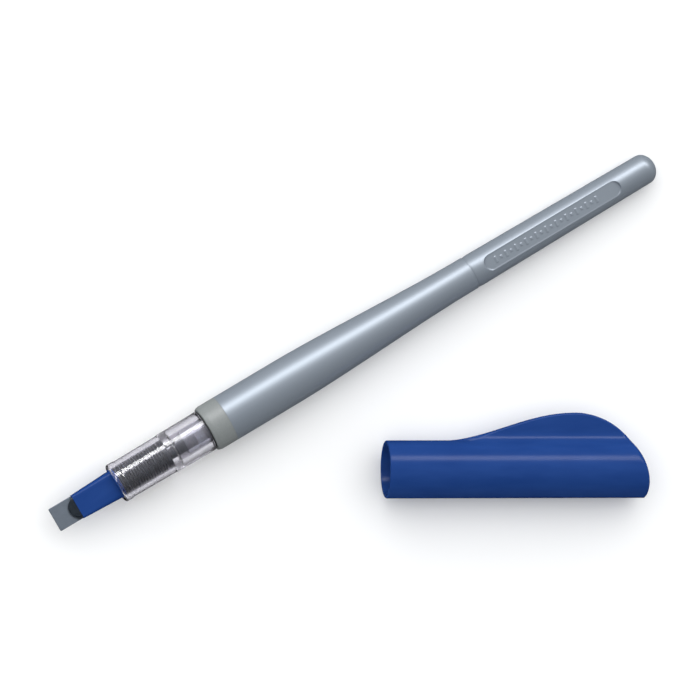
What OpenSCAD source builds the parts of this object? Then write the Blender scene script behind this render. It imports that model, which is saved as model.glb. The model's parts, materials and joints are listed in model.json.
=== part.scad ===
// Broad-nib calligraphy pen with two parallel steel nib plates, and its cap, side by side on a table.
// The pen lies along +X with its nib at -X. The origin is the centre of the collar ring, on the pen's axis.
// The cap lies beside the pen. Its own axis crosses the pen's axis behind the nib.

/* [Nib] */
// Width of the two steel nib plates
nib_w = 6; // [5:0.5:6]
// How far the nib tip stands out of the grip section
nib_reach = 17; // [17:0.5:20]
// Thickness of one nib plate
plate_t = 0.25; // [0.2:0.05:0.3]
// Width of the ink slit between the plates
slit = 0.2; // [0.15:0.05:0.25]

/* [Grip section] */
// Length of the clear grip section, from its lip to the gasket
grip_len = 25.1; // [25.1:0.5:29.1]
// Diameter of the grip section in front of its thread
grip_d = 10.1; // [9.9:0.1:10.6]
// Diameter of the bore that holds the feed
feed_bore_d = 7.7; // [7.5:0.1:7.8]

/* [Barrel] */
// Diameter of the front of the barrel and of the collar ring
barrel_d = 11.7; // [11.5:0.1:11.8]
// Diameter where the barrel meets the tail
waist_d = 8.6; // [8.4:0.1:9]
// Diameter at the end of the tail
tail_d = 7.5; // [7:0.1:8]
// Length of the barrel tube behind the collar ring
barrel_len = 69.6; // [69.6:0.5:75.6]
// Length of the tail that shows
tail_len = 53.2; // [49.2:1:60.2]
// Length of the collar ring
collar_len = 5.2; // [5:0.1:6]

/* [Cap] */
// Outer diameter of the cap's tube
cap_d = 14; // [14:0.1:15]
// Overall length of the cap
cap_len = 64.1; // [62.1:0.5:66.6]
// Distance from the cap's axis to the crest of its fin
fin_reach = 13.7; // [12.7:0.5:15.2]
// Thickness of the fin
fin_t = 1.8; // [1.4:0.1:2.2]

/* [Layout] */
// Angle between the pen and the cap as they lie
lay_angle = 30.5; // [25.5:1:40.5]
// Distance from the crossing of the two axes to the cap's mouth
mouth_gap = 59.7; // [55.7:0.5:80.7]

/* [Hidden] */
$fn = 96;

// Radial clearance of a running fit, and of two pieces glued together
run_gap = 0.05;
glue_gap = 0.02;

// Stations along the pen's axis, from the collar's centre
collar_x = collar_len / 2;
gasket_t = 0.4;
shoulder_x = -collar_x - gasket_t;
lip_x = shoulder_x - grip_len;
tip_x = lip_x - nib_reach;
bulkhead_x = lip_x + 14.5;
bulkhead_t = 1.6;
spigot_x = 10;
waist_x = collar_x + barrel_len;
end_x = waist_x + tail_len;

// Grip section
grip_r = grip_d / 2;
grip_rear_r = grip_r + 0.1;
lip_r = grip_r - 0.05;
lip_round = 0.6;
lip_bead = 1.9;
feed_bore_r = feed_bore_d / 2;
rear_bore_r = 3.3;
cartridge_bore_r = 3.7;
cartridge_step_x = -2.2;
spigot_r = 4.5;

// Barrel
barrel_r = barrel_d / 2;
waist_r = waist_d / 2;
tail_r = tail_d / 2;
straight_x = 18;
sleeve_r = 5.15;
sleeve_end_x = 12.5;
barrel_wall = 0.9;
socket_r = 3.2;
socket_depth = 6;
tail_bore_r = 2.3;
tail_round = 3.1;
panel_x = [waist_x + 3.3, waist_x + 42.5];
panel_w = 4.1;
panel_depth = 0.6;
panel_roll = 3;

// Cartridge
cartridge_x = -9.2;
neck_end_x = -2;
cartridge_end_x = 46;
neck_r = 3;
cartridge_r = 3.45;
cartridge_cavity_r = 2.75;
ball_r = 1.5;

// Feed and nib
stem_r = 2;
stem_bore_r = 1;
stem_end_x = -6.1;
comb_r = feed_bore_r - 0.2;
comb_core_r = 2.6;
comb_bore_r = 1.9;
comb_x = [lip_x + 1.1, bulkhead_x - 0.1];
comb_flange_t = 1.2;
blade_pitch = 0.7;
blade_t = 0.35;
holder_end_x = lip_x + 0.9;
holder_x = tip_x + 6.2;
nose_x = tip_x + 4;
plate_end_x = tip_x + 13.5;
plate_shoulder_x = plate_end_x - 2.8;
holder_front = [3.2, nib_w + 0.15];
holder_rear = [4.2, nib_w + 1.1];
holder_seat_r = feed_bore_r - run_gap;

// Cap
cap_r = cap_d / 2;
cap_bore_r = cap_r - 1;
liner_r = cap_bore_r - 0.4;
liner_x = [30.5, 53];
liner_bore_r = 4.4;
seal_x = [31.8, 32.75];
seal_r = liner_r - 0.4;
cap_bore_end = cap_len - 5.3;
fillet_r = 3.1;
crest_x = cap_len - 17.6;
rise_x = 10.8;
foot_y = cap_r * 0.9;
end_centre_y = -4.2;

// The pen rests on its barrel and its tail, and the cap on its tube, with the fin level
tail_round_x = end_x - tail_round;
pen_tilt = max([for (x = [straight_x:0.5:waist_x]) atan((barrel_radius(x) - tail_r) / (tail_round_x - x))]);
table_z = -tail_round_x * sin(pen_tilt) - tail_r;
cross_x = -21.4;

function smooth(t) = t * t * (3 - 2 * t);
function barrel_radius(x) =
    x <= straight_x ? barrel_r
    : x >= waist_x ? waist_r
    : barrel_r - (barrel_r - waist_r) * smooth((x - straight_x) / (waist_x - straight_x));
function tail_radius(x) = waist_r - (waist_r - tail_r) * (x - waist_x) / (tail_round_x - waist_x);

// A solid of revolution about the X axis, from a list of [x, radius] points
module turned(points) {
    rotate([0, 90, 0])
        rotate_extrude() polygon([for (p = points) [p[1], p[0]]]);
}

module tube_x(x0, x1, r_out, r_in) {
    turned([[x0, r_in], [x0, r_out], [x1, r_out], [x1, r_in]]);
}

module rod_x(x0, x1, r) {
    translate([x0, 0, 0]) rotate([0, 90, 0]) cylinder(r = r, h = x1 - x0);
}

module lie_pen() {
    rotate([0, pen_tilt, 0]) children();
}

module lie_cap() {
    translate([cross_x, 0, table_z + cap_r])
        rotate([0, 0, -lay_angle])
            translate([mouth_gap, 0, 0]) children();
}

// Clear grip section: a round lip, a smooth body, a spigot for the barrel, and a bulkhead for the feed's stem
module section() {
    lip_arc = [for (a = [90:-15:0])
        [lip_x + lip_round * (1 - sin(a)), lip_r - lip_round * (1 - cos(a))]];
    color([0.86, 0.86, 0.9, 0.4]) lie_pen() turned(concat(
        [[bulkhead_x, stem_r + run_gap], [bulkhead_x, feed_bore_r], [lip_x, feed_bore_r]],
        lip_arc,
        [[lip_x + lip_bead, lip_r], [lip_x + lip_bead + 0.5, grip_r - 0.2],
         [bulkhead_x - 0.3, grip_r - 0.1], [bulkhead_x, grip_r], [shoulder_x, grip_rear_r], [shoulder_x, spigot_r],
         [spigot_x - 0.4, spigot_r], [spigot_x, spigot_r - 0.4], [spigot_x, cartridge_bore_r],
         [cartridge_step_x, cartridge_bore_r], [cartridge_step_x, rear_bore_r],
         [bulkhead_x + bulkhead_t, rear_bore_r], [bulkhead_x + bulkhead_t, stem_r + run_gap]]));
}

// Thin rubber gasket between the section's shoulder and the collar ring
module gasket() {
    color([0.2, 0.2, 0.21]) lie_pen()
        tube_x(shoulder_x, -collar_x, grip_r - 0.1, spigot_r + run_gap);
}

// Warm grey collar ring with a bevelled front
module collar_ring() {
    color([0.56, 0.57, 0.56]) lie_pen() turned([
        [-collar_x, spigot_r + 0.2], [-collar_x, barrel_r - 0.35],
        [-collar_x + 0.25, barrel_r - 0.2], [-collar_x + 1, barrel_r],
        [collar_x, barrel_r], [collar_x, spigot_r + 0.2]]);
}

// Threaded liner inside the barrel's mouth
module thread_sleeve() {
    color([0.62, 0.64, 0.66]) lie_pen()
        tube_x(collar_x, sleeve_end_x, sleeve_r, spigot_r + 0.1);
}

// Long tapering barrel, open at the front and socketed for the tail
module barrel_tube() {
    steps = 24;
    taper = [for (i = [0:steps]) straight_x + (waist_x - straight_x) * i / steps];
    color([0.58, 0.63, 0.68]) lie_pen() difference() {
        turned(concat(
            [[collar_x, 0], [collar_x, barrel_r]],
            [for (x = taper) [x, barrel_radius(x)]],
            [[waist_x, 0]]));
        rod_x(collar_x - 1, sleeve_end_x + 0.3, sleeve_r + run_gap);
        turned(concat(
            [[sleeve_end_x, 0], [sleeve_end_x, barrel_r - barrel_wall - 0.2]],
            [for (x = taper) if (x < waist_x - socket_depth - 1) [x, barrel_radius(x) - barrel_wall]],
            [[waist_x - socket_depth - 0.5, socket_r], [waist_x - socket_depth - 0.5, 0]]));
        rod_x(waist_x - socket_depth - 1, waist_x + 1, socket_r);
    }
}

// Tail with a round end, a flat name panel on its upper side, and a spigot that is pressed into the barrel
module tail_tube() {
    panel_slope = atan((tail_radius(panel_x[0]) - tail_radius(panel_x[1])) / (panel_x[1] - panel_x[0]));
    panel_top = tail_radius(panel_x[0]) - panel_depth;
    color([0.58, 0.63, 0.68]) lie_pen() difference() {
        turned(concat(
            [[waist_x - socket_depth, tail_bore_r], [waist_x - socket_depth, socket_r - glue_gap],
             [waist_x, socket_r - glue_gap], [waist_x, waist_r - 0.18], [waist_x + 0.5, waist_r - 0.1]],
            [for (a = [0:10:90]) [tail_round_x + tail_round * sin(a), tail_r * cos(a)]],
            [[tail_round_x + 0.6, 0], [tail_round_x - 0.6, tail_bore_r]]));
        rotate([panel_roll, 0, 0])
            translate([panel_x[0], 0, panel_top]) rotate([0, panel_slope, 0]) panel_slot();
    }
}

// The panel's outline, standing up from its floor
module panel_slot() {
    length = panel_x[1] - panel_x[0];
    translate([panel_w / 2, -panel_w / 2, 0]) cube([length - panel_w, panel_w, 3]);
    translate([panel_w / 2, 0, 0]) cylinder(d = panel_w, h = 3);
    translate([length - panel_w / 2, 0, 0]) cylinder(d = panel_w, h = 3);
}

// Ink cartridge: a neck that the feed's stem plugs into, and a closed body
module cartridge_body() {
    color([0.88, 0.9, 0.93, 0.5]) lie_pen() turned([
        [cartridge_x, stem_r + run_gap], [cartridge_x, neck_r - 0.2], [cartridge_x + 0.2, neck_r],
        [neck_end_x, neck_r], [neck_end_x + 0.6, cartridge_r],
        [cartridge_end_x - 1, cartridge_r], [cartridge_end_x, cartridge_r - 1], [cartridge_end_x, 0],
        [cartridge_end_x - 1.2, 0], [cartridge_end_x - 1.2, cartridge_cavity_r],
        [neck_end_x + 1, cartridge_cavity_r], [neck_end_x + 1, stem_r + run_gap]]);
}

// Ball that sealed the cartridge until the stem pushed it in
module seal_ball() {
    color([0.75, 0.76, 0.78]) lie_pen()
        translate([neck_end_x + 5, 0, ball_r + 0.05 - cartridge_cavity_r]) sphere(r = ball_r);
}

module ink() {
    color([0.06, 0.08, 0.16]) lie_pen()
        rod_x(neck_end_x + 7, cartridge_end_x - 1.3, cartridge_cavity_r - run_gap);
}

// Comb of ring blades that buffers the ink, with a closed flange at its rear
module feed_comb() {
    blades = floor((comb_x[1] - comb_flange_t - comb_x[0]) / blade_pitch);
    channel = [0.6, 1.15];
    color([0.17, 0.19, 0.22]) lie_pen() difference() {
        union() {
            rod_x(comb_x[0], comb_x[1], comb_core_r);
            for (i = [0:blades - 1])
                rod_x(comb_x[0] + i * blade_pitch, comb_x[0] + i * blade_pitch + blade_t, comb_r);
            rod_x(comb_x[1] - comb_flange_t, comb_x[1], comb_r);
        }
        rod_x(comb_x[0] - 1, comb_x[1] - 2, comb_bore_r);
        rod_x(comb_x[1] - 3, comb_x[1] + 1, stem_r);
        // Air channel along the underside
        translate([comb_x[0] - 1, -channel[0] / 2, -comb_r - 0.1])
            cube([comb_x[1] - comb_flange_t - comb_x[0] + 1, channel[0], channel[1]]);
    }
}

// Dark tube that carries the ink from the cartridge into the comb
module feed_stem() {
    color([0.17, 0.19, 0.22]) lie_pen()
        tube_x(comb_x[1] - 1.9, stem_end_x, stem_r - glue_gap, stem_bore_r);
}

// Dark nose that grips the plates: rounded in plan, and thinner towards the tip
module feed_nose() {
    half = 2.6;
    round_len = 2.9;
    slope_len = 2;
    tip_h = 0.75;
    full_h = 1.35;
    post_r = 1.3;
    passage_w = 2.5;
    slot = plate_t + slit / 2 + glue_gap;
    color([0.17, 0.19, 0.22]) lie_pen() difference() {
        union() {
            intersection() {
                translate([0, 0, -2]) linear_extrude(4) polygon(concat(
                    [for (a = [90:7.5:270]) [nose_x + round_len * (1 + cos(a)), half * sin(a)]],
                    [[holder_end_x, -half], [holder_end_x, half]]));
                rotate([90, 0, 0]) translate([0, 0, -3]) linear_extrude(6) polygon([
                    [nose_x - 0.1, -tip_h], [nose_x + slope_len, -full_h], [holder_end_x, -full_h],
                    [holder_end_x, full_h], [nose_x + slope_len, full_h], [nose_x - 0.1, tip_h]]);
            }
            rod_x(holder_end_x - 1, comb_x[0], post_r);
        }
        translate([nose_x - 1, -nib_w, -slot]) cube([plate_end_x + 0.2 - nose_x + 1, 2 * nib_w, 2 * slot]);
        // Passage for the ink tongue
        translate([nose_x, -passage_w / 2, -slit / 2])
            cube([comb_x[0] - nose_x + 1, passage_w, slit]);
    }
}

// Thin strip that leads the ink from the comb into the slit
module ink_tongue() {
    tongue_w = 2.4;
    tongue_t = slit * 0.6;
    color([0.25, 0.27, 0.3]) lie_pen()
        translate([tip_x + 3, -tongue_w / 2, -tongue_t / 2])
            cube([comb_x[0] + 4 - tip_x, tongue_w, tongue_t]);
}

// Coloured holder: a flat bar, with a round seat that plugs the section's mouth
module nib_holder() {
    nose_room = [5.4, 2.8];
    plate_room_t = 0.8;
    tang_room = 4.6;
    slice_t = 0.2;
    color([0.13, 0.27, 0.6]) lie_pen() difference() {
        union() {
            hull() {
                holder_slice(holder_x, slice_t, holder_front, 0.6);
                holder_slice(lip_x - slice_t, slice_t, holder_rear, 1.2);
            }
            rod_x(lip_x - slice_t, holder_end_x, holder_seat_r);
        }
        translate([holder_x - 1, -nose_room[0] / 2, -nose_room[1] / 2])
            cube([holder_end_x - holder_x + 2, nose_room[0], nose_room[1]]);
        // Room for the plates: open through the sides as far as their shoulders
        translate([holder_x - 1, -nib_w, -plate_room_t / 2])
            cube([plate_shoulder_x - holder_x + 1.2, 2 * nib_w, plate_room_t]);
        translate([holder_x - 1, -tang_room / 2, -plate_room_t / 2])
            cube([plate_end_x - holder_x + 1.2, tang_room, plate_room_t]);
    }
}

// A thin cross-section of the holder, with round corners
module holder_slice(x, thickness, size, corner_r) {
    translate([x, 0, 0]) rotate([0, 90, 0]) linear_extrude(thickness)
        offset(r = corner_r, $fn = 32) square([size[0] - 2 * corner_r, size[1] - 2 * corner_r], center = true);
}

// One nib plate: a straight-edged blade with bevelled tip and a narrower tang
module nib_plate() {
    tang_half = 2.2;
    linear_extrude(plate_t) polygon([
        [tip_x + 0.15, -nib_w / 2], [tip_x, -nib_w / 2 + 0.15], [tip_x, nib_w / 2 - 0.15],
        [tip_x + 0.15, nib_w / 2], [plate_shoulder_x - 0.5, nib_w / 2], [plate_shoulder_x, tang_half],
        [plate_end_x, tang_half], [plate_end_x, -tang_half], [plate_shoulder_x, -tang_half],
        [plate_shoulder_x - 0.5, -nib_w / 2]]);
}

module nib_plate_upper() {
    color([0.5, 0.52, 0.54]) lie_pen() translate([0, 0, slit / 2]) nib_plate();
}

module nib_plate_lower() {
    color([0.5, 0.52, 0.54]) lie_pen() translate([0, 0, -slit / 2 - plate_t]) nib_plate();
}

// Two shims that keep the plates apart, clear of the ink tongue
module nib_spacers() {
    spacer_y = 2.1;
    spacer_w = 0.8;
    spacer_len = 4;
    color([0.62, 0.64, 0.66]) lie_pen() for (side = [-1, 1])
        translate([holder_x + 1, side * spacer_y - spacer_w / 2, -slit / 2])
            cube([spacer_len, spacer_w, slit]);
}

// Outline of the cap seen square to its fin: a straight back, a swelling fin and a rounded end
module cap_outline(below) {
    low = acos((-below - end_centre_y) / (fin_reach - end_centre_y));
    polygon(concat(
        [[0, -below], [0, foot_y]],
        [for (t = [0:0.05:1]) [rise_x + (crest_x - rise_x) * t, foot_y + (fin_reach - foot_y) * smooth(t)]],
        [for (a = [5:5:low]) [crest_x + (cap_len - crest_x) * sin(a),
                              end_centre_y + (fin_reach - end_centre_y) * cos(a)]],
        [[crest_x + (cap_len - crest_x) * sin(low), -below]]));
}

// Cross-section of the fin: a plate whose foot flares into the tube with a fillet on each side
module fin_section() {
    half = fin_t / 2;
    centre_y = half + fillet_r;
    centre_x = sqrt(pow(cap_r + fillet_r, 2) - pow(centre_y, 2));
    foot = atan2(centre_y, centre_x);
    arc = [for (i = [0:8]) let (a = 180 + foot + (90 - foot) * i / 8)
        [centre_x + fillet_r * cos(a), centre_y + fillet_r * sin(a)]];
    polygon(concat(
        [[0, 0]], arc, [[fin_reach + 1, half], [fin_reach + 1, -half]],
        [for (i = [8:-1:0]) [arc[i][0], -arc[i][1]]]));
}

// Cap: a round tube with a fin along one side, trimmed to the cap's outline
module cap_shell() {
    color([0.13, 0.27, 0.6]) lie_cap() difference() {
        union() {
            intersection() {
                rod_x(0, cap_len + 1, cap_r);
                translate([0, 0, -cap_r - 1]) linear_extrude(2 * cap_r + 2) cap_end();
            }
            intersection() {
                rotate([90, 0, 90]) linear_extrude(cap_len + 1) fin_section();
                translate([0, 0, -cap_r]) linear_extrude(2 * cap_r) cap_outline(2);
            }
        }
        rod_x(-1, liner_x[0], cap_bore_r);
        rod_x(liner_x[0] - 1, cap_bore_end, liner_r + glue_gap);
    }
}

// Everything in front of the cap's rounded end
module cap_end() {
    reach = fin_reach - end_centre_y;
    polygon(concat(
        [[-1, -cap_r - 1], [-1, fin_reach + 1], [crest_x, fin_reach + 1]],
        [for (a = [0:5:100]) [crest_x + (cap_len - crest_x) * sin(a), end_centre_y + reach * cos(a)]],
        [[crest_x + (cap_len - crest_x) * sin(105), -cap_r - 1]]));
}

// Inner cap: a closed cup that shuts over the section's lip
module inner_cap() {
    color([0.9, 0.91, 0.92]) lie_cap() turned([
        [liner_x[0], seal_r], [liner_x[0], liner_r], [liner_x[1], liner_r], [liner_x[1], 0],
        [liner_x[1] - 1.5, 0], [liner_x[1] - 1.5, liner_bore_r],
        [seal_x[1], liner_bore_r], [seal_x[1], seal_r]]);
}

// Soft washer that the section's lip presses on
module cap_seal() {
    color([0.75, 0.75, 0.74]) lie_cap()
        tube_x(seal_x[0], seal_x[1], seal_r - glue_gap, liner_bore_r + 0.2);
}

section();
gasket();
collar_ring();
thread_sleeve();
barrel_tube();
tail_tube();
cartridge_body();
seal_ball();
ink();
feed_comb();
feed_nose();
ink_tongue();
feed_stem();
nib_holder();
nib_plate_upper();
nib_plate_lower();
nib_spacers();
cap_shell();
inner_cap();
cap_seal();
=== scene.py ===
import json
import math

import bmesh
import bpy
from mathutils import Matrix, Vector


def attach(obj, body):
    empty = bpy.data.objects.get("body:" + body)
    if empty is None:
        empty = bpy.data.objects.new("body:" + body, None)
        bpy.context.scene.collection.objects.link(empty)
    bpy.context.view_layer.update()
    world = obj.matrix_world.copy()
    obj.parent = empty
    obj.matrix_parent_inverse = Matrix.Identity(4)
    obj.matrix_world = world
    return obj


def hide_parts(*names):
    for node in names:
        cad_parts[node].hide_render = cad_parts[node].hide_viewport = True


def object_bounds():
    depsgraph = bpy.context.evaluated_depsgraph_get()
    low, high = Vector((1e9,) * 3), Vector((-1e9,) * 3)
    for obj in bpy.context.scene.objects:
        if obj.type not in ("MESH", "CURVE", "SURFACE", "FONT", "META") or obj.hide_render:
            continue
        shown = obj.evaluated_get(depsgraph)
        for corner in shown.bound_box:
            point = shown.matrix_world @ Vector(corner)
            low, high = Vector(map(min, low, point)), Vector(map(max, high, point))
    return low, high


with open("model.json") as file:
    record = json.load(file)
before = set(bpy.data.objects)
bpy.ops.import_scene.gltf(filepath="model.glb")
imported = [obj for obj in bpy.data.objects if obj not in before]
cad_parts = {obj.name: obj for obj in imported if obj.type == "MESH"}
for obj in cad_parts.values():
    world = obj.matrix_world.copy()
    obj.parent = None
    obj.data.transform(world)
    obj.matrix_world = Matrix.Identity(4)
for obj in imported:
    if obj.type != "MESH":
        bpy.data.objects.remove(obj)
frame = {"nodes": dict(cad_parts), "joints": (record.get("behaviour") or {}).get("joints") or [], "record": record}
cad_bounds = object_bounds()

# Shapes are worked out in millimetres, in the pen's own frame or in the cap's own frame.
# Each is written to its mesh in metres, in the row frame.
MM = 0.001
EPS = 1e-6


def local_frame(origin, x_axis, z_hint):
    """Local millimetres to row-frame metres: X along x_axis, Z towards z_hint."""
    x = Vector(x_axis).normalized()
    hint = Vector(z_hint)
    z = (hint - hint.dot(x) * x).normalized()
    matrix = Matrix((x, z.cross(x), z)).transposed().to_4x4()
    matrix.translation = Vector(origin)
    return matrix @ Matrix.Scale(MM, 4)


def local_points(node, place):
    inverse = place.inverted()
    return [inverse @ v.co for v in frame["nodes"][node].data.vertices]


def span(node, place):
    """First station, last station and largest radius of a CAD node, in a local frame."""
    points = local_points(node, place)
    xs = [p.x for p in points]
    return min(xs), max(xs), max(math.hypot(p.y, p.z) for p in points)


def pen_frame():
    turn = next(j for j in frame["joints"] if j["name"] == "barrel_turn")
    return local_frame(turn["pos_m"], turn["axis"], (0, 0, 1))


def cap_frame():
    """X runs from the cap's mouth to its closed end, and Y towards the crest of its fin."""
    mouth = next(m for m in frame["record"]["mounts"] if m["name"] == "cap_mouth")
    axis = -Vector(mouth["axis"])
    rough = local_frame(mouth["pos_m"], axis, (0, 0, 1))
    points = local_points("cap_shell", rough)
    crest = max(points, key=lambda p: math.hypot(p.y, p.z))
    start = min(p.x for p in points)
    fin = rough.to_3x3() @ Vector((0, crest.y, crest.z))
    return local_frame(rough @ Vector((start, 0, 0)), axis, axis.cross(fin))


PEN = pen_frame()
CAP = cap_frame()


def smooth(t):
    t = min(max(t, 0), 1)
    return t * t * (3 - 2 * t)


# ---------------------------------------------------------------- mesh helpers

def finish_mesh(name, place, bm, sharp_deg=38, weighted=True):
    """Turns a bmesh in local millimetres into a smooth-shaded object in the row frame."""
    bmesh.ops.remove_doubles(bm, verts=bm.verts, dist=1e-4)
    bmesh.ops.dissolve_degenerate(bm, edges=bm.edges, dist=1e-5)
    bmesh.ops.recalc_face_normals(bm, faces=bm.faces)
    bmesh.ops.transform(bm, matrix=place, verts=bm.verts)
    mesh = bpy.data.meshes.new(name)
    bm.to_mesh(mesh)
    bm.free()
    for face in mesh.polygons:
        face.use_smooth = True
    mesh.set_sharp_from_angle(angle=math.radians(sharp_deg))
    obj = bpy.data.objects.new(name, mesh)
    bpy.context.scene.collection.objects.link(obj)
    if weighted:
        modifier = obj.modifiers.new("even_shading", "WEIGHTED_NORMAL")
        modifier.keep_sharp = True
    return obj


def round_corners(outline, closed, segments=5):
    """Replaces each (x, r, fillet) corner by an arc, and each (x, r) corner by a point."""
    count = len(outline)
    points = []
    for i, corner in enumerate(outline):
        here = Vector(corner[:2])
        fillet = corner[2] if len(corner) > 2 else 0
        end = not closed and i in (0, count - 1)
        if fillet <= 0 or end:
            points.append(here)
            continue
        back = Vector(outline[i - 1][:2]) - here
        ahead = Vector(outline[(i + 1) % count][:2]) - here
        half = back.angle(ahead) / 2
        reach = min(fillet / math.tan(half), 0.48 * back.length, 0.48 * ahead.length)
        radius = reach * math.tan(half)
        middle = here + (back.normalized() + ahead.normalized()).normalized() * radius / math.sin(half)
        start = here + back.normalized() * reach - middle
        stop = here + ahead.normalized() * reach - middle
        sweep = start.angle_signed(stop)
        for k in range(segments + 1):
            points.append(middle + Matrix.Rotation(-sweep * k / segments, 2) @ start)
    return points


def lathe(name, place, outline, closed=True, steps=128, angles=None, shape=None, segments=5):
    """A solid of revolution about X. The outline is a closed loop, or starts and ends on the axis.
    shape(x, r, angle) may return another radius; the angle is 0 on top and grows towards +Y."""
    points = round_corners(outline, closed, segments)
    angles = angles or [2 * math.pi * k / steps for k in range(steps)]
    shape = shape or (lambda x, r, a: r)
    bm = bmesh.new()
    rings = []
    for x, r in points:
        if r <= EPS:
            rings.append([bm.verts.new((x, 0, 0))] * len(angles))
            continue
        ring = []
        for a in angles:
            radius = shape(x, r, a)
            ring.append(bm.verts.new((x, radius * math.sin(a), radius * math.cos(a))))
        rings.append(ring)
    pairs = list(zip(rings, rings[1:] + rings[:1])) if closed else list(zip(rings, rings[1:]))
    for low, high in pairs:
        join_rows(bm, low + low[:1], high + high[:1])
    return finish_mesh(name, place, bm)


def join_rows(bm, low, high):
    """Faces between two rows of vertices. Where vertices coincide, the face has fewer corners."""
    for i in range(len(low) - 1):
        corners = []
        for v in (low[i], low[i + 1], high[i + 1], high[i]):
            if v not in corners:
                corners.append(v)
        if len(corners) > 2:
            bm.faces.new(corners)


def rounded_ring(half_w, half_h, corner, segments=5):
    """Points round a rectangle with round corners, in the YZ plane."""
    corner = min(corner, half_w, half_h)
    points = []
    for quarter in range(4):
        sy, sz = ((1, 1), (-1, 1), (-1, -1), (1, -1))[quarter]
        for k in range(segments + 1):
            a = math.pi / 2 * (quarter + k / segments)
            points.append((sy * (half_w - corner) + corner * math.cos(a),
                           sz * (half_h - corner) + corner * math.sin(a)))
    return points


def loft_mesh(stations, segments=5):
    """A closed solid through rounded rectangles: each station is (x, half width, half height, corner)."""
    bm = bmesh.new()
    rings = [[bm.verts.new((x, y, z)) for y, z in rounded_ring(w, h, c, segments)]
             for x, w, h, c in stations]
    for low, high in zip(rings, rings[1:]):
        join_rows(bm, low + low[:1], high + high[:1])
    bm.faces.new(rings[0])
    bm.faces.new(rings[-1])
    bmesh.ops.recalc_face_normals(bm, faces=bm.faces)
    return bm


def box_mesh(low, high):
    bm = bmesh.new()
    bmesh.ops.create_cube(bm, size=1)
    size = Vector(high) - Vector(low)
    middle = (Vector(high) + Vector(low)) / 2
    bmesh.ops.transform(bm, matrix=Matrix.Translation(middle) @ Matrix.Diagonal((*size, 1)), verts=bm.verts)
    return bm


def temporary(bm):
    mesh = bpy.data.meshes.new("cutter")
    bm.to_mesh(mesh)
    bm.free()
    obj = bpy.data.objects.new("cutter", mesh)
    bpy.context.scene.collection.objects.link(obj)
    return obj


def carved(name, place, body, cutters, bevel, added=()):
    """A body with solids added to it and others cut out of it, its sharp edges bevelled, in the row frame."""
    obj = temporary(body)
    tools = []
    for operation, solids in (("UNION", added), ("DIFFERENCE", cutters)):
        for solid in solids:
            tools.append(temporary(solid))
            step = obj.modifiers.new("step", "BOOLEAN")
            step.operation = operation
            step.object = tools[-1]
            step.solver = "EXACT"
    if bevel:
        edge = obj.modifiers.new("edge", "BEVEL")
        edge.width = bevel
        edge.segments = 2
        edge.limit_method = "ANGLE"
        edge.angle_limit = math.radians(40)
    bpy.context.view_layer.update()
    evaluated = obj.evaluated_get(bpy.context.evaluated_depsgraph_get())
    bm = bmesh.new()
    bm.from_mesh(evaluated.to_mesh())
    evaluated.to_mesh_clear()
    for used in [obj] + tools:
        bpy.data.objects.remove(used)
    return finish_mesh(name, place, bm)


# ---------------------------------------------------------------- stations along the pen

LIP_X, SPIGOT_X, GRIP_R = span("section", PEN)
SHOULDER_X, COLLAR_X, GASKET_R = span("gasket", PEN)
BARREL_X, WAIST_X, BARREL_R = span("barrel_tube", PEN)
SLEEVE_END_X, SLEEVE_R = span("thread_sleeve", PEN)[1:]
TAIL_X, END_X, WAIST_R = span("tail_tube", PEN)
CARTRIDGE_X, CARTRIDGE_END_X, CARTRIDGE_R = span("cartridge_body", PEN)
COMB_X, COMB_END_X, COMB_R = span("feed_comb", PEN)
STEM_X, STEM_END_X, STEM_R = span("feed_stem", PEN)
NOSE_X, NOSE_END_X = span("feed_nose", PEN)[:2]
HOLDER_X, HOLDER_END_X, HOLDER_R = span("nib_holder", PEN)
TIP_X, PLATE_END_X = span("nib_plate_upper", PEN)[:2]

BULKHEAD_X = COMB_END_X + 0.1
BULKHEAD_T = 1.6
BORE_R = 3.85
REAR_BORE_R = 3.3
CARTRIDGE_BORE_R = 3.7
CARTRIDGE_STEP_X = -2.2
NECK_END_X = -2.0
NECK_R = 3.0
CAVITY_R = 2.75
SPIGOT_R = 4.5
THREAD_PITCH = 1.5
THREAD_DEPTH = 0.16
STRAIGHT_X = 18.0
TAIL_R = 3.75
TAIL_ROUND = 3.1
TAIL_ROUND_X = END_X - TAIL_ROUND
SOCKET_DEPTH = WAIST_X - TAIL_X
SOCKET_R = 3.2
BARREL_WALL = 0.9
PANEL_X = (WAIST_X + 3.3, WAIST_X + 42.5)
PANEL_W = 4.1
PANEL_DEPTH = 0.6
RELIEF_H = 0.12
PANEL_ROLL = math.radians(-3)
NOSE_ROOM = (2.7, 1.4)


def helix(x, angle):
    """0 at a thread's root and 1 at its crest, for a right-hand thread."""
    turn = (x / THREAD_PITCH + angle / (2 * math.pi)) % 1
    return smooth((abs(turn - 0.5) * 2 - 0.3) / 0.4)


def many(x0, x1, count, radius):
    """Evenly spread outline points from x0 to x1."""
    return [(x0 + (x1 - x0) * k / count, radius(x0 + (x1 - x0) * k / count)) for k in range(count + 1)]


# ---------------------------------------------------------------- grip section and collar

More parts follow.
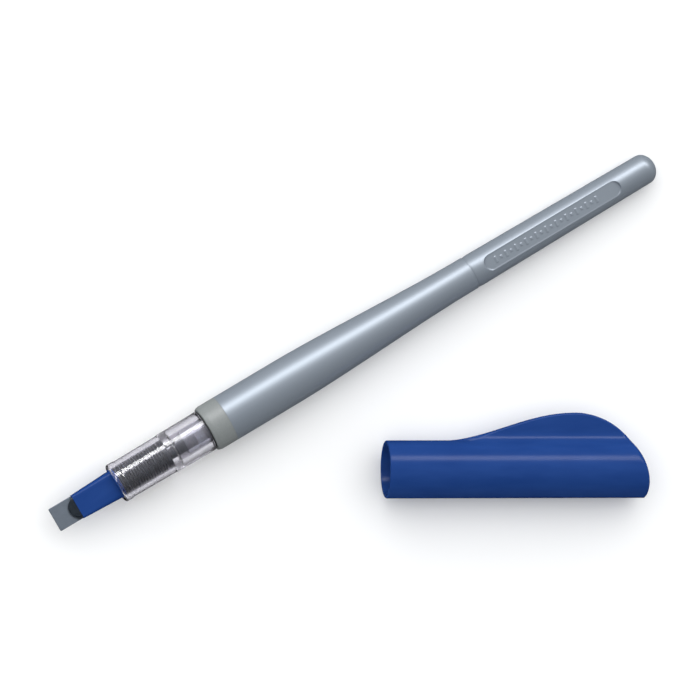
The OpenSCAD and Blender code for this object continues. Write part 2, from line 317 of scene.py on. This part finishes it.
def grip_section():
    lip_r = GRIP_R - 0.15
    front_r = GRIP_R - 0.3
    thread = (SHOULDER_X + 2.4, SPIGOT_X - 1.2)

    def threaded(x, r, a):
        if abs(r - SPIGOT_R) > 0.01 or not thread[0] < x < thread[1]:
            return r
        fade = smooth((x - thread[0]) / 0.6) * smooth((thread[1] - x) / 0.6)
        return r - THREAD_DEPTH * fade * (1 - helix(x, a))

    outline = [
        (LIP_X, BORE_R, 0.12), (LIP_X, lip_r, 0.6), (LIP_X + 1.9, lip_r, 0.25), (LIP_X + 2.35, front_r, 0.4),
        (BULKHEAD_X - 0.35, front_r + 0.1, 0.12), (BULKHEAD_X, GRIP_R - 0.1, 0.15),
        (SHOULDER_X, GRIP_R, 0.12), (SHOULDER_X, SPIGOT_R, 0.15)]
    outline += many(SHOULDER_X + 0.6, SPIGOT_X - 0.8, 84, lambda x: SPIGOT_R)
    outline += [
        (SPIGOT_X, SPIGOT_R - 0.4, 0.15), (SPIGOT_X, CARTRIDGE_BORE_R, 0.1),
        (CARTRIDGE_STEP_X, CARTRIDGE_BORE_R, 0.05), (CARTRIDGE_STEP_X, REAR_BORE_R, 0.1),
        (BULKHEAD_X + BULKHEAD_T, REAR_BORE_R, 0.9), (BULKHEAD_X + BULKHEAD_T, STEM_R + 0.07, 0.2),
        (BULKHEAD_X, STEM_R + 0.07, 0.05), (BULKHEAD_X, BORE_R, 0.2)]
    return lathe("grip_section", PEN, outline, shape=threaded)


def gasket():
    inner = SPIGOT_R + 0.05
    return lathe("gasket_ring", PEN, [
        (SHOULDER_X, inner, 0.08), (SHOULDER_X, GASKET_R, 0.12),
        (COLLAR_X, GASKET_R, 0.12), (COLLAR_X, inner, 0.08)])


def collar():
    inner = SPIGOT_R + 0.2
    return lathe("collar_trim", PEN, [
        (COLLAR_X, inner, 0.1), (COLLAR_X, BARREL_R - 0.35, 0.08), (COLLAR_X + 0.25, BARREL_R - 0.2, 0.15),
        (COLLAR_X + 1, BARREL_R, 0.6), (BARREL_X, BARREL_R, 0.07), (BARREL_X, inner, 0.1)])


def thread_sleeve():
    inner = SPIGOT_R + 0.1
    thread = (BARREL_X + 0.8, SLEEVE_END_X - 0.8)

    def threaded(x, r, a):
        if r > inner + 0.01 or not thread[0] < x < thread[1]:
            return r
        return r + THREAD_DEPTH * helix(x + THREAD_PITCH / 2, a)

    outline = [(BARREL_X, inner, 0.1), (BARREL_X, SLEEVE_R, 0.1), (SLEEVE_END_X, SLEEVE_R, 0.15)]
    outline += [(SLEEVE_END_X, inner, 0.1)]
    outline += many(SLEEVE_END_X - 0.5, BARREL_X + 0.5, 60, lambda x: inner)
    return lathe("barrel_thread_sleeve", PEN, outline, shape=threaded)


# ---------------------------------------------------------------- barrel and tail

def barrel_radius(x):
    return BARREL_R - (BARREL_R - WAIST_R) * smooth((x - STRAIGHT_X) / (WAIST_X - STRAIGHT_X))


def tail_radius(x):
    return WAIST_R - (WAIST_R - TAIL_R) * (x - WAIST_X) / (TAIL_ROUND_X - WAIST_X)


def barrel():
    bore_end = WAIST_X - SOCKET_DEPTH - 0.5
    outline = [(BARREL_X, SLEEVE_R + 0.05, 0.08), (BARREL_X, BARREL_R, 0.08)]
    outline += many(STRAIGHT_X - 8, WAIST_X - 0.4, 72, barrel_radius)
    outline += [(WAIST_X, WAIST_R, 0.1), (WAIST_X, SOCKET_R, 0.1), (bore_end, SOCKET_R, 0.05)]
    outline += many(bore_end - 1, STRAIGHT_X, 24, lambda x: barrel_radius(x) - BARREL_WALL)
    outline += [(SLEEVE_END_X + 0.3, BARREL_R - BARREL_WALL - 0.2), (SLEEVE_END_X + 0.3, SLEEVE_R + 0.05)]
    return lathe("barrel_shell", PEN, outline)


def panel_depth(x, angle):
    """How far, from 0 to 1, a point of the tail's skin is let down to the floor of the name panel."""
    lateral = tail_radius(x) * math.sin(angle - PANEL_ROLL)
    if math.cos(angle - PANEL_ROLL) < 0:
        return 0
    half = PANEL_W / 2
    beyond = max(PANEL_X[0] + half - x, x - PANEL_X[1] + half, 0)
    return smooth((half - math.hypot(beyond, lateral)) / 0.22)


def relief(x, lateral):
    """Low ribs on the panel's floor, long and short by turns, from 0 to 1."""
    start, stop, pitch = PANEL_X[0] + 2.6, PANEL_X[1] - 6.1, 1.45
    if not start < x < stop:
        return 0
    reach = (1.05, 0.55)[int((x - start) / pitch) % 2]
    offset = abs((x - start) % pitch - pitch / 2)
    return smooth((0.36 - offset) / 0.22) * smooth((reach - abs(lateral)) / 0.3)


def tail_angles():
    """Angles round the tail, close together where the name panel lies."""
    fine = math.radians(36)
    inner = [PANEL_ROLL - fine + 2 * fine * k / 48 for k in range(49)]
    outer = [PANEL_ROLL + fine + (2 * math.pi - 2 * fine) * k / 72 for k in range(1, 72)]
    return inner + outer


def tail():
    def with_panel(x, r, a):
        if r < SOCKET_R + 0.3 or x > PANEL_X[1] or x < PANEL_X[0]:
            return r
        lateral = r * math.sin(a - PANEL_ROLL)
        floor = (r - PANEL_DEPTH + RELIEF_H * relief(x, lateral)) / max(math.cos(a - PANEL_ROLL), 0.1)
        return r + (min(floor, r) - r) * panel_depth(x, a)

    bore_r = 2.3
    end_wall = 2.5
    ends = PANEL_W / 2
    outline = [
        (END_X - end_wall, 0), (END_X - end_wall - 1.2, bore_r, 0.3), (TAIL_X, bore_r, 0.15),
        (TAIL_X, SOCKET_R - 0.02, 0.3), (WAIST_X, SOCKET_R - 0.02, 0.05), (WAIST_X, WAIST_R - 0.2, 0.1),
        (WAIST_X + 0.5, WAIST_R - 0.1, 0.3), (WAIST_X + 1.5, tail_radius(WAIST_X + 1.5))]
    outline += many(PANEL_X[0] - 0.1, PANEL_X[0] + ends, 18, tail_radius)
    outline += many(PANEL_X[0] + ends + 0.14, PANEL_X[1] - ends - 0.14, 236, tail_radius)
    outline += many(PANEL_X[1] - ends, PANEL_X[1] + 0.1, 18, tail_radius)
    outline += [(TAIL_ROUND_X - 1, tail_radius(TAIL_ROUND_X - 1))]
    arc = [math.pi / 2 * k / 16 for k in range(17)]
    outline += [(TAIL_ROUND_X + TAIL_ROUND * math.sin(a), TAIL_R * math.cos(a)) for a in arc]
    return lathe("tail_shell", PEN, outline, closed=False, angles=tail_angles(), shape=with_panel)


# ---------------------------------------------------------------- cartridge

def cartridge():
    wall = STEM_R + 0.07
    return lathe("cartridge_shell", PEN, [
        (CARTRIDGE_END_X, 0), (CARTRIDGE_END_X, CARTRIDGE_R, 0.9), (NECK_END_X + 0.6, CARTRIDGE_R, 0.3),
        (NECK_END_X, NECK_R, 0.3), (CARTRIDGE_X, NECK_R, 0.2), (CARTRIDGE_X, wall, 0.15),
        (NECK_END_X + 1, wall, 0.1), (NECK_END_X + 1, CAVITY_R, 0.3),
        (CARTRIDGE_END_X - 1.2, CAVITY_R, 0.5), (CARTRIDGE_END_X - 1.2, 0)], closed=False)


# ---------------------------------------------------------------- feed

def comb():
    """Ring blades on a core, a closed flange behind them and an air channel underneath."""
    core_r = 2.6
    flange_x = COMB_END_X - 1.2
    pitch = 0.7
    blade_t = 0.35
    blades = int((flange_x - COMB_X) / pitch + EPS)
    channel_half = 0.3
    channel_floor = COMB_R - 1.15

    def with_channel(x, r, a):
        under = math.cos(a) < 0 and abs(r * math.sin(a)) < channel_half
        return channel_floor if under and r > channel_floor and x < flange_x - 0.01 else r

    outline = [(COMB_X, 1.9), (COMB_X, COMB_R, 0.1), (COMB_X + blade_t, COMB_R, 0.1)]
    for k in range(1, blades):
        start = COMB_X + k * pitch
        outline += [(start - pitch + blade_t, core_r, 0.05), (start, core_r, 0.05)]
        outline += [(start, COMB_R, 0.1), (start + blade_t, COMB_R, 0.1)]
    outline += [
        (COMB_X + (blades - 1) * pitch + blade_t, core_r, 0.05), (flange_x, core_r, 0.05),
        (flange_x, COMB_R, 0.12), (COMB_END_X, COMB_R, 0.12), (COMB_END_X, STEM_R + 0.02),
        (COMB_END_X - 2, STEM_R + 0.02), (COMB_END_X - 2, 1.9)]
    return lathe("feed_comb_blades", PEN, outline, steps=144, shape=with_channel, segments=2)


def stem():
    bore_r = 1.0
    return lathe("feed_ink_stem", PEN, [
        (STEM_X, bore_r, 0.1), (STEM_X, STEM_R, 0.1), (STEM_END_X, STEM_R, 0.5), (STEM_END_X, bore_r, 0.2)])


def nose():
    """Rounded in plan, thinner towards the tip, and slotted for the plates."""
    half_w, front_h, full_h = 2.6, 0.75, 1.35
    round_len, slope_len = 2.9, 2.0
    slot_h = 0.37
    post_r = 1.1
    passage_w, passage_h = 1.25, 0.1
    steps = 12
    stations = []
    for k in range(steps + 1):
        a = math.radians(8 + 82 * k / steps)
        x = NOSE_X + round_len * (1 - math.cos(a))
        h = min(front_h + (full_h - front_h) * (x - NOSE_X) / slope_len, full_h)
        stations.append((x, half_w * math.sin(a), h, 0.3))
    stations.append((HOLDER_END_X, half_w, full_h, 0.3))
    post = loft_mesh([(x, post_r, post_r, post_r) for x in (HOLDER_END_X - 0.5, NOSE_END_X)])
    slot = box_mesh((NOSE_X - 1, -2 * half_w, -slot_h), (PLATE_END_X + 0.2, 2 * half_w, slot_h))
    passage = box_mesh((NOSE_X, -passage_w, -passage_h), (HOLDER_END_X + 0.2, passage_w, passage_h))
    return carved("feed_nose_block", PEN, loft_mesh(stations), [slot, passage], 0.06, [post])


# ---------------------------------------------------------------- nib

def holder():
    """Flat bar with rounded sides, open in front for the nose and the plates."""
    # Half width, half height and corner radius
    front = Vector((3.075, 1.6, 0.6))
    rear = Vector((3.55, 2.1, 1.2))
    half_w, half_h = NOSE_ROOM
    plate_room = 0.4
    tang_room = 2.3
    shoulder_x = PLATE_END_X - 2.6
    steps = 8
    stations = [(HOLDER_X + (LIP_X - HOLDER_X) * k / steps, *front.lerp(rear, k / steps))
                for k in range(steps + 1)]
    body = loft_mesh(stations, segments=7)
    cutters = [
        box_mesh((HOLDER_X - 1, -half_w, -half_h), (LIP_X + 1, half_w, half_h)),
        box_mesh((HOLDER_X - 1, -HOLDER_R * 2, -plate_room), (shoulder_x, HOLDER_R * 2, plate_room)),
        box_mesh((HOLDER_X - 1, -tang_room, -plate_room), (PLATE_END_X + 0.2, tang_room, plate_room))]
    return carved("nib_holder_bar", PEN, body, cutters, 0.05)


def holder_seat():
    """Round rear of the holder, which plugs the section's mouth."""
    seat_x = LIP_X - 0.2

    def around_hole(x, r, a):
        if r > HOLDER_R - 1:
            return r
        across = abs(math.sin(a)) / NOSE_ROOM[0]
        up = abs(math.cos(a)) / NOSE_ROOM[1]
        return 1 / max(across, up)

    return lathe("nib_holder_seat", PEN, [
        (seat_x, 1), (seat_x, HOLDER_R, 0.1),
        (HOLDER_END_X, HOLDER_R, 0.15), (HOLDER_END_X, 1)], shape=around_hole)


def plate(name, node):
    """A steel blade with a ground tip, a narrow tang and softened edges."""
    points = local_points(node, PEN)
    low, high = min(p.z for p in points), max(p.z for p in points)
    half = max(p.y for p in points)
    tang_half = 2.2
    shoulder_x = PLATE_END_X - 2.8
    corner = 0.15
    outline = [
        (TIP_X, half - corner), (TIP_X + corner, half), (shoulder_x - 0.5, half), (shoulder_x, tang_half),
        (PLATE_END_X, tang_half)]
    outline += [(x, -y) for x, y in reversed(outline)]
    bm = bmesh.new()
    face = bm.faces.new([bm.verts.new((x, y, low)) for x, y in outline])
    raised = bmesh.ops.extrude_face_region(bm, geom=[face])
    top = [v for v in raised["geom"] if isinstance(v, bmesh.types.BMVert)]
    bmesh.ops.translate(bm, vec=(0, 0, high - low), verts=top)
    bmesh.ops.recalc_face_normals(bm, faces=bm.faces)
    return carved(name, PEN, bm, [], 0.04)


# ---------------------------------------------------------------- cap

CAP_LEN, FIN_REACH = span("cap_shell", CAP)[1:]
LINER_X, LINER_END_X, LINER_R = span("inner_cap", CAP)
SEAL_X, SEAL_END_X, SEAL_R = span("cap_seal", CAP)
CAP_R = 7.0
CAP_BORE_R = 6.0
CREST_X = CAP_LEN - 17.6
END_CENTRE_Y = -4.2
RISE_X = 14.56
RISE_POWER = 1.78
FAN_X = CAP_LEN - 8.3
FIN_HALF = 0.9
FILLET_R = 3.1
FILLET_Y = math.sqrt((CAP_R + FILLET_R) ** 2 - (FIN_HALF + FILLET_R) ** 2)
FOOT_Y = FILLET_Y * CAP_R / (CAP_R + FILLET_R)


def cap_edge(x):
    """Distance from the cap's axis to its outline on the fin's side."""
    if x > CREST_X:
        across = min((x - CREST_X) / (CAP_LEN - CREST_X), 1)
        return END_CENTRE_Y + (FIN_REACH - END_CENTRE_Y) * math.sqrt(1 - across * across)
    along = max((x - RISE_X) / (CREST_X - RISE_X), 0)
    return CAP_R + (FIN_REACH - CAP_R) * math.sin(math.pi / 2 * along) ** RISE_POWER


def end_x(y):
    """Station of the cap's closed end at a distance y from its axis."""
    across = (y - END_CENTRE_Y) / (FIN_REACH - END_CENTRE_Y)
    return CREST_X + (CAP_LEN - CREST_X) * math.sqrt(max(1 - across * across, 0))


def cap_height(y, edge):
    """Height of the cap's skin above the plane of its fin, where the outline is edge from the axis."""
    tube = math.sqrt(max(CAP_R ** 2 - y * y, 0))
    if y < FOOT_Y:
        return tube
    if y < FILLET_Y:
        fin = FIN_HALF + FILLET_R - math.sqrt(FILLET_R ** 2 - (FILLET_Y - y) ** 2)
    else:
        fin = FIN_HALF
    return tube + (max(fin, tube) - tube) * smooth((edge - CAP_R) / 1.5)


def cap_rib(bm, start, stop, edge, samples=40, rounding=7):
    """One line of points over the cap's skin, from its spine to its outline and down to the fin's plane."""
    start, stop = Vector(start), Vector(stop)
    length = (stop - start).length
    end_h = cap_height(stop.y, edge)
    radius = min(1.0, 0.55 * end_h)
    spread = smooth((abs(stop.y) - CAP_R) / 4)
    direction = (stop - start) / length
    points = []
    for k in range(samples + 1):
        t = (1 - spread) * math.sin(math.pi / 2 * k / samples) + spread * k / samples
        p = start + direction * (length - radius) * t
        points.append((p.x, p.y, cap_height(p.y, edge)))
    for k in range(1, rounding + 1):
        a = math.pi / 2 * k / rounding
        p = start + direction * (length - radius + radius * math.sin(a))
        h = cap_height(p.y, edge) - radius * (1 - math.cos(a))
        points.append((p.x, p.y, max(h, 0)))
    points.append((stop.x, stop.y, 0))
    return [bm.verts.new(p) for p in points]


def cap_shell():
    """A tube that grows a fin along one side, trimmed to a rounded end, with a stepped bore."""
    rim = 0.35
    xs = [rim, 4, 8] + [10 + (FAN_X - 10) * k / 62 for k in range(63)]
    bm = bmesh.new()
    ribs = [cap_rib(bm, (x, 0), (x, cap_edge(x)), cap_edge(x)) for x in xs]
    fan = [cap_edge(FAN_X) + (CAP_R - cap_edge(FAN_X)) * k / 8 for k in range(1, 8)]
    fan += [CAP_R * math.sin(math.pi / 2 - math.pi * k / 40) for k in range(41)]
    ribs += [cap_rib(bm, (FAN_X, 0), (end_x(y), y), FIN_REACH) for y in fan]
    ribs += [cap_rib(bm, (x, 0), (x, -CAP_R), FIN_REACH) for x in reversed(xs)]
    for low, high in zip(ribs, ribs[1:]):
        join_rows(bm, low, high)
    bmesh.ops.remove_doubles(bm, verts=bm.verts, dist=1e-4)
    other = bmesh.ops.duplicate(bm, geom=bm.verts[:] + bm.edges[:] + bm.faces[:])["geom"]
    verts = [g for g in other if isinstance(g, bmesh.types.BMVert)]
    faces = [g for g in other if isinstance(g, bmesh.types.BMFace)]
    bmesh.ops.scale(bm, vec=(1, 1, -1), verts=verts)
    bmesh.ops.reverse_faces(bm, faces=faces)
    cap_bore(bm, rim)
    return finish_mesh("cap_body", CAP, bm, weighted=False)


def cap_bore(bm, rim):
    """The mouth's rounded rim and the stepped bore, as rings that meet the skin's first rib."""
    counter_r = LINER_R + 0.02
    bore_end = CAP_LEN - 5.3
    outline = [(rim * (1 - math.sin(a)), CAP_R - rim * (1 - math.cos(a)))
               for a in [math.pi / 2 * k / 6 for k in range(7)]]
    outline += [(0, CAP_BORE_R + 0.2), (0.06, CAP_BORE_R + 0.06), (0.2, CAP_BORE_R), (10, CAP_BORE_R),
                (LINER_X, CAP_BORE_R), (LINER_X, counter_r), (bore_end, counter_r), (bore_end, 0)]
    count = 160
    rings = []
    for x, r in outline:
        if r <= EPS:
            rings.append([bm.verts.new((x, 0, 0))] * count)
            continue
        turns = [2 * math.pi * k / count for k in range(count)]
        rings.append([bm.verts.new((x, r * math.sin(a), r * math.cos(a))) for a in turns])
    for low, high in zip(rings, rings[1:]):
        join_rows(bm, low + low[:1], high + high[:1])


def inner_cap():
    cup_r = 4.4
    return lathe("inner_cap_cup", CAP, [
        (LINER_END_X - 1.5, 0), (LINER_END_X - 1.5, cup_r, 0.4), (SEAL_END_X, cup_r, 0.05),
        (SEAL_END_X, SEAL_R + 0.02, 0.05), (LINER_X, SEAL_R + 0.02, 0.15), (LINER_X, LINER_R, 0.12),
        (LINER_END_X, LINER_R, 0.5), (LINER_END_X, 0)], closed=False)


def cap_seal():
    inner = 4.6
    return lathe("cap_seal_washer", CAP, [
        (SEAL_X, inner, 0.12), (SEAL_X, SEAL_R, 0.12), (SEAL_END_X, SEAL_R, 0.12), (SEAL_END_X, inner, 0.12)])


# ---------------------------------------------------------------- materials

class Nodes:
    """A material under construction, with coordinates in local millimetres."""

    def __init__(self, name, place, **values):
        self.material = bpy.data.materials.new(name)
        self.material.use_nodes = True
        self.tree = self.material.node_tree
        self.shader = self.tree.nodes["Principled BSDF"]
        for key, value in values.items():
            self.shader.inputs[key.replace("_", " ")].default_value = value
        coordinates = self.add("ShaderNodeTexCoord").outputs["Object"]
        self.mm = self.mapped(coordinates, place.inverted())

    def add(self, kind, **settings):
        node = self.tree.nodes.new(kind)
        for key, value in settings.items():
            setattr(node, key, value)
        return node

    def link(self, output, target):
        self.tree.links.new(output, target)

    def mapped(self, vector, matrix):
        node = self.add("ShaderNodeMapping")
        location, rotation, scale = matrix.decompose()
        node.inputs["Location"].default_value = location
        node.inputs["Rotation"].default_value = rotation.to_euler()
        node.inputs["Scale"].default_value = scale
        self.link(vector, node.inputs["Vector"])
        return node.outputs["Vector"]

    def stretched(self, scale):
        return self.mapped(self.mm, Matrix.Diagonal((*scale, 1)))

    def noise(self, vector, scale, detail=2.0):
        node = self.add("ShaderNodeTexNoise")
        node.inputs["Scale"].default_value = scale
        node.inputs["Detail"].default_value = detail
        self.link(vector, node.inputs["Vector"])
        return node.outputs["Fac"]

    def ramp(self, value, low, high, start=0.3, stop=0.7):
        node = self.add("ShaderNodeValToRGB")
        ends = node.color_ramp.elements
        ends[0].position, ends[1].position = start, stop
        ends[0].color, ends[1].color = (*low, 1), (*high, 1)
        self.link(value, node.inputs["Fac"])
        return node.outputs["Color"]

    def range(self, value, low, high):
        node = self.add("ShaderNodeMapRange")
        node.inputs["To Min"].default_value = low
        node.inputs["To Max"].default_value = high
        self.link(value, node.inputs["Value"])
        return node.outputs["Result"]

    def color(self, output):
        self.link(output, self.shader.inputs["Base Color"])

    def roughness(self, value, low, high):
        self.link(self.range(value, low, high), self.shader.inputs["Roughness"])

    def bump(self, value, strength, distance_mm):
        node = self.add("ShaderNodeBump")
        node.inputs["Strength"].default_value = strength
        node.inputs["Distance"].default_value = distance_mm * MM
        self.link(value, node.inputs["Height"])
        self.link(node.outputs["Normal"], self.shader.inputs["Normal"])


def clear_plastic():
    m = Nodes("clear_plastic", PEN, Transmission_Weight=0.98, IOR=1.49)
    m.color(m.ramp(m.noise(m.mm, 0.12), (0.66, 0.65, 0.7), (0.7, 0.69, 0.74)))
    m.roughness(m.noise(m.stretched((0.5, 1, 1)), 1.5, 4), 0.09, 0.12)
    return m.material


def silver(name):
    """Metallic lacquer: fine flake, and a soft broad reflection."""
    m = Nodes(name, PEN, Metallic=0.25, IOR=1.5)
    m.color(m.ramp(m.noise(m.mm, 22, 3), (0.222, 0.257, 0.302), (0.253, 0.288, 0.333)))
    m.roughness(m.noise(m.mm, 3, 3), 0.41, 0.46)
    m.bump(m.noise(m.mm, 30, 2), 0.12, 0.01)
    return m.material


def grey_ring():
    m = Nodes("grey_ring", PEN, Specular_IOR_Level=0.4)
    m.color(m.ramp(m.noise(m.mm, 4, 4), (0.2, 0.217, 0.218), (0.235, 0.252, 0.25)))
    m.roughness(m.noise(m.mm, 2), 0.42, 0.52)
    m.bump(m.noise(m.mm, 14, 3), 0.25, 0.02)
    return m.material


def blue_plastic(name, place):
    """Moulded gloss plastic with a trace of flow in its colour and gloss."""
    m = Nodes(name, place, IOR=1.5, Specular_IOR_Level=0.06)
    m.color(m.ramp(m.noise(m.stretched((0.25, 1, 1)), 0.35, 3), (0.011, 0.043, 0.188), (0.015, 0.052, 0.212)))
    m.roughness(m.noise(m.mm, 0.8, 3), 0.18, 0.24)
    m.bump(m.noise(m.stretched((0.3, 1, 1)), 0.6, 2), 0.04, 0.02)
    return m.material


def feed_plastic():
    m = Nodes("feed_plastic", PEN, IOR=1.5)
    m.color(m.ramp(m.noise(m.mm, 1.5, 3), (0.012, 0.018, 0.026), (0.021, 0.03, 0.04)))
    m.roughness(m.noise(m.mm, 2.5), 0.28, 0.4)
    m.bump(m.noise(m.mm, 12, 2), 0.1, 0.01)
    return m.material


def nib_steel():
    """Ground steel: fine lines along the pen."""
    m = Nodes("nib_steel", PEN, Metallic=0.9)
    lines = m.noise(m.stretched((0.6, 12, 12)), 1.2, 4)
    m.color(m.ramp(lines, (0.2, 0.235, 0.285), (0.245, 0.285, 0.34)))
    m.roughness(m.noise(m.mm, 1.2, 3), 0.42, 0.55)
    m.bump(lines, 0.15, 0.01)
    return m.material


def soft_rubber(name, place, low, high):
    m = Nodes(name, place, IOR=1.45, Specular_IOR_Level=0.35)
    m.color(m.ramp(m.noise(m.mm, 2.5, 3), low, high))
    m.roughness(m.noise(m.mm, 1.5), 0.6, 0.75)
    m.bump(m.noise(m.mm, 10, 3), 0.2, 0.02)
    return m.material


def sleeve_plastic():
    m = Nodes("sleeve_plastic", PEN, IOR=1.5)
    m.color(m.ramp(m.noise(m.mm, 1.0, 3), (0.20, 0.21, 0.225), (0.24, 0.25, 0.265)))
    m.roughness(m.noise(m.mm, 2), 0.38, 0.5)
    m.bump(m.noise(m.mm, 8, 2), 0.12, 0.02)
    return m.material


def frosted_plastic(name, place):
    m = Nodes(name, place, IOR=1.5, Transmission_Weight=0.9)
    m.color(m.ramp(m.noise(m.mm, 0.6, 3), (0.88, 0.91, 0.96), (0.93, 0.95, 0.98)))
    m.roughness(m.noise(m.mm, 2), 0.1, 0.16)
    m.bump(m.noise(m.mm, 9, 2), 0.05, 0.02)
    return m.material


def steel_ball():
    m = Nodes("steel_ball", PEN, Metallic=1.0)
    m.color(m.ramp(m.noise(m.mm, 2), (0.55, 0.56, 0.58), (0.6, 0.61, 0.63)))
    m.roughness(m.noise(m.mm, 3), 0.12, 0.2)
    return m.material


def ink_blue_black():
    m = Nodes("ink_blue_black", PEN, IOR=1.34)
    m.color(m.ramp(m.noise(m.mm, 0.5), (0.004, 0.006, 0.018), (0.007, 0.01, 0.028)))
    m.roughness(m.noise(m.mm, 0.8), 0.05, 0.12)
    return m.material


def paint(obj, material):
    obj.data.materials.clear()
    obj.data.materials.append(material)


def piece(obj, body, material, slot, *nodes):
    paint(obj, material)
    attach(obj, body)
    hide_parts(*nodes)


def build_object():
    silver_paint = silver("silver_barrel")
    blue = blue_plastic("blue_plastic", CAP)
    feed = feed_plastic()
    steel = nib_steel()
    piece(grip_section(), "grip", clear_plastic(), "clear_plastic", "section")
    piece(gasket(), "grip", soft_rubber("black_rubber", PEN, (0.03, 0.03, 0.032), (0.045, 0.045, 0.048)),
          "black_rubber", "gasket")
    piece(collar(), "collar", grey_ring(), "grey_ring", "collar_ring")
    piece(thread_sleeve(), "collar", sleeve_plastic(), "sleeve_plastic", "thread_sleeve")
    piece(barrel(), "barrel", silver_paint, "silver_barrel", "barrel_tube")
    piece(tail(), "barrel", silver_paint, "silver_barrel", "tail_tube")
    piece(cartridge(), "cartridge", frosted_plastic("frosted_plastic", PEN), "frosted_plastic",
          "cartridge_body")
    piece(comb(), "nib_unit", feed, "feed_plastic", "feed_comb")
    piece(stem(), "nib_unit", feed, "feed_plastic", "feed_stem")
    piece(nose(), "nib_unit", feed, "feed_plastic", "feed_nose")
    holder_blue = blue_plastic("holder_plastic", PEN)
    piece(holder(), "nib_unit", holder_blue, "blue_plastic", "nib_holder")
    piece(holder_seat(), "nib_unit", holder_blue, "blue_plastic", "nib_holder")
    piece(plate("nib_plate_top", "nib_plate_upper"), "nib_unit", steel, "nib_steel", "nib_plate_upper")
    piece(plate("nib_plate_bottom", "nib_plate_lower"), "nib_unit", steel, "nib_steel", "nib_plate_lower")
    piece(cap_shell(), "cap", blue, "blue_plastic", "cap_shell")
    piece(inner_cap(), "cap", frosted_plastic("inner_cap_plastic", CAP), "frosted_plastic", "inner_cap")
    piece(cap_seal(), "cap", soft_rubber("white_rubber", CAP, (0.5, 0.5, 0.49), (0.58, 0.58, 0.57)),
          "white_rubber", "cap_seal")
    paint(frame["nodes"]["nib_spacers"], steel)
    paint(frame["nodes"]["ink_tongue"], feed)
    paint(frame["nodes"]["seal_ball"], steel_ball())
    paint(frame["nodes"]["ink"], ink_blue_black())


# ---------------------------------------------------------------- camera, floor and light

VIEW_ROLL = math.radians(30.336)
VIEW_ELEVATION = math.radians(80)
CAMERA_DISTANCE = 1.2
CAMERA_LENS = 255.705
AIM = Vector((0.037625, -0.001407, -0.003))

# Angles in degrees from the camera's direction, distance and size in metres
STRIP_TILT = 46
STRIP_DISTANCE = 1.5
STRIP_SIZE = (3.0, 0.5)
STRIP_WATTS = 68
DOME_TILT = 50
DOME_FADE = -0.25
DOME_STRENGTH = (0.2, 2.05)

# Right and up in the picture, on the table, and the direction from the object to the camera
RIGHT = Vector((math.cos(VIEW_ROLL), -math.sin(VIEW_ROLL), 0))
UP = Vector((math.sin(VIEW_ROLL), math.cos(VIEW_ROLL), 0))
BACK = -RIGHT * math.cos(VIEW_ELEVATION) + Vector((0, 0, math.sin(VIEW_ELEVATION)))


def make_camera():
    camera = bpy.data.objects.new("camera", bpy.data.cameras.new("camera"))
    bpy.context.scene.collection.objects.link(camera)
    matrix = Matrix((UP.cross(BACK), UP, BACK)).transposed().to_4x4()
    matrix.translation = AIM + BACK * CAMERA_DISTANCE
    camera.matrix_world = matrix
    camera.data.lens = CAMERA_LENS
    camera.data.clip_end = 10
    bpy.context.scene.camera = camera


def make_floor():
    """A plain pale sheet that the object stands on."""
    low = cad_bounds[0]
    bm = bmesh.new()
    bmesh.ops.create_grid(bm, x_segments=8, y_segments=8, size=3)
    mesh = bpy.data.meshes.new("floor")
    bm.to_mesh(mesh)
    bm.free()
    floor = bpy.data.objects.new("floor", mesh)
    floor.location = (AIM.x, AIM.y, low[2] - 0.00002)
    bpy.context.scene.collection.objects.link(floor)
    m = Nodes("floor_paper", Matrix.Scale(MM, 4), Specular_IOR_Level=0.1)
    m.color(m.ramp(m.noise(m.mm, 0.02), (0.93, 0.93, 0.93), (0.95, 0.95, 0.95)))
    m.roughness(m.noise(m.mm, 0.1), 0.8, 0.9)
    floor.data.materials.append(m.material)
    floor.visible_glossy = False


def area_light(name, direction, distance, size, watts, along=RIGHT, color=(1, 1, 1)):
    """A rectangular light that faces the object, with its long side parallel to along."""
    light = bpy.data.lights.new(name, "AREA")
    light.shape = "RECTANGLE"
    light.size, light.size_y = size
    light.energy = watts
    light.color = color
    obj = bpy.data.objects.new(name, light)
    z = direction.normalized()
    y = z.cross(along).normalized()
    matrix = Matrix((y.cross(z), y, z)).transposed().to_4x4()
    matrix.translation = AIM + z * distance
    obj.matrix_world = matrix
    bpy.context.scene.collection.objects.link(obj)
    return obj


def tilted(angle_deg):
    """A direction turned from the camera's towards the top of the picture."""
    a = math.radians(angle_deg)
    return BACK * math.cos(a) + UP * math.sin(a)


def make_light():
    """A long strip on the far side that makes the highlights, and a soft dome, brighter on that side."""
    strip = area_light("strip", tilted(STRIP_TILT), STRIP_DISTANCE, STRIP_SIZE, STRIP_WATTS)
    strip.visible_diffuse = False
    world = bpy.data.worlds.new("studio")
    bpy.context.scene.world = world
    world.use_nodes = True
    tree = world.node_tree
    towards_strip = tree.nodes.new("ShaderNodeVectorMath")
    towards_strip.operation = "DOT_PRODUCT"
    towards_strip.inputs[1].default_value = tilted(DOME_TILT)
    tree.links.new(tree.nodes.new("ShaderNodeTexCoord").outputs["Generated"], towards_strip.inputs[0])
    dome = tree.nodes.new("ShaderNodeMapRange")
    dome.inputs["From Min"].default_value = DOME_FADE
    dome.inputs["To Min"].default_value, dome.inputs["To Max"].default_value = DOME_STRENGTH
    tree.links.new(towards_strip.outputs["Value"], dome.inputs["Value"])
    background = tree.nodes["Background"]
    background.inputs["Color"].default_value = (0.98, 0.99, 1.0, 1)
    tree.links.new(dome.outputs["Result"], background.inputs["Strength"])
    world.cycles_visibility.glossy = False


make_camera()
make_floor()
make_light()
build_object()
bpy.context.scene.view_settings.view_transform = "Standard"
